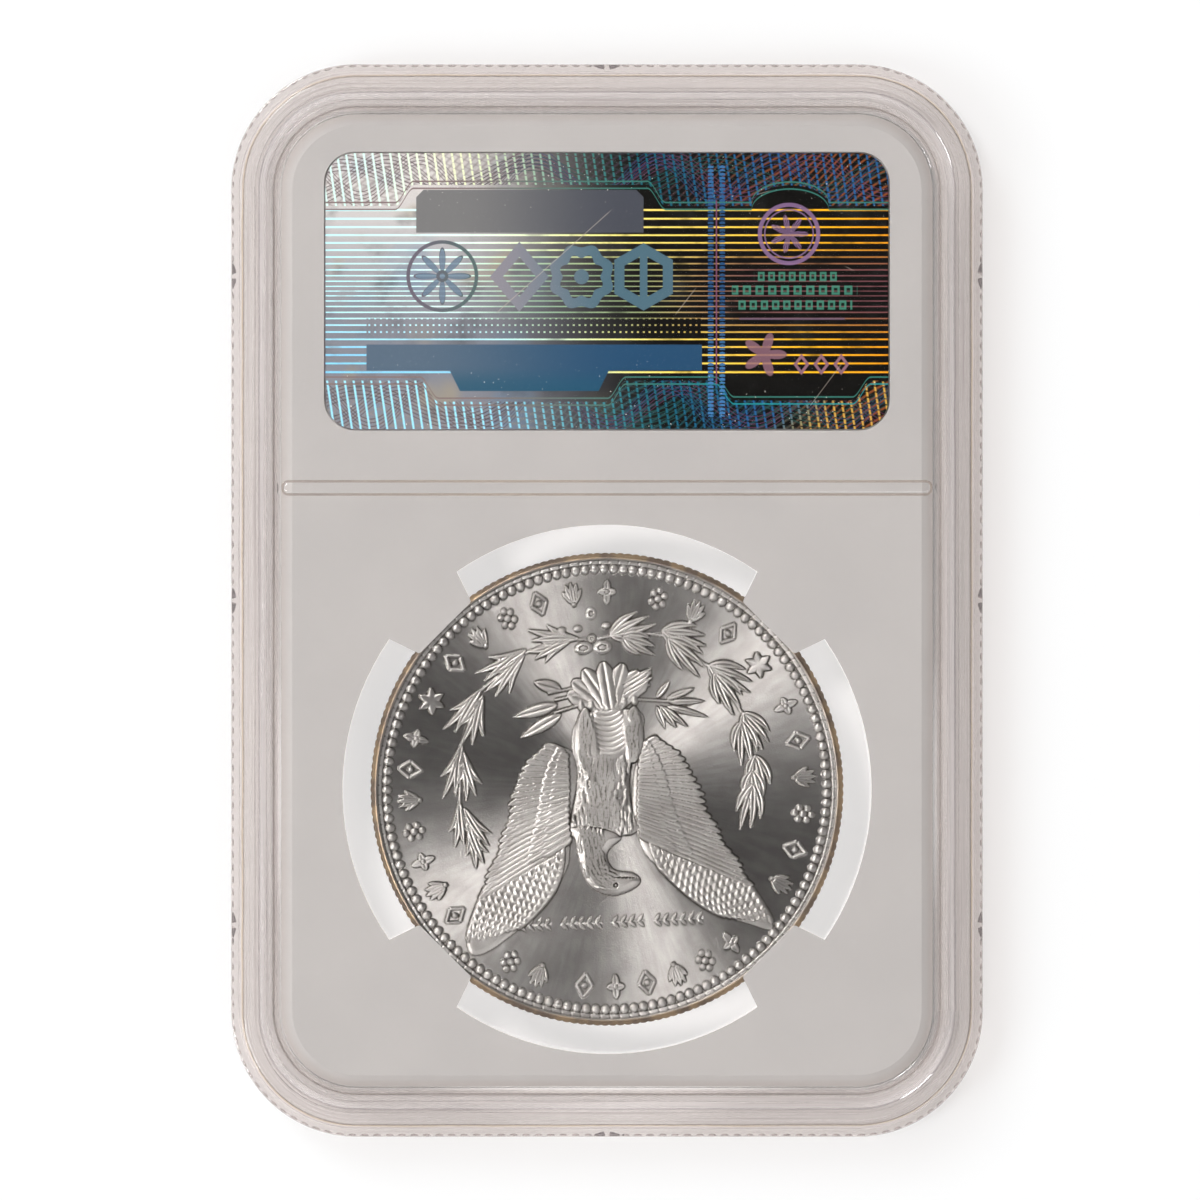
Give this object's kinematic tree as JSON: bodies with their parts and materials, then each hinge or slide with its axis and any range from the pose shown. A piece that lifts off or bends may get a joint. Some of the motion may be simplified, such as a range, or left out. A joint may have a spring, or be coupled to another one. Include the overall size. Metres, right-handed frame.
{
  "type": "graded coin slab",
  "caption": "Flat clear plastic holder, welded shut round a white insert that grips a struck silver coin by four prongs and carries a holographic label on one face and a printed one on the other",
  "frame": {"origin": "centre of the slab's footprint, on the surface that its front ring lies on", "axes": "+Z out of the rear face, which carries the hologram; +Y along the slab's length from the coin towards the labels; +X to the right seen from above the rear face"},
  "size_m": [0.0604, 0.0862, 0.008],
  "materials": {
    "clear_shell": "injection-moulded clear polystyrene, polished, with fine scuffs on the rims",
    "white_insert": "soft white moulded insert, satin",
    "coin_silver": "struck silver with cartwheel lustre",
    "hologram_film": "diffraction film over printed panels and rules",
    "printed_card": "printed card with blank panels, satin"
  },
  "bodies": {
    "holder": {"front_shell": "clear_shell", "rear_shell": "clear_shell", "insert": "white_insert", "hologram_label": "hologram_film", "certificate_label": "printed_card"},
    "coin": {"coin": "coin_silver"}
  },
  "joints": [
    {"name": "coin_turn", "type": "hinge", "parent": "holder", "child": "coin", "pos_m": [0, -0.0152, 0.004], "axis": [0, 0, 1], "continuous": true}
  ]
}
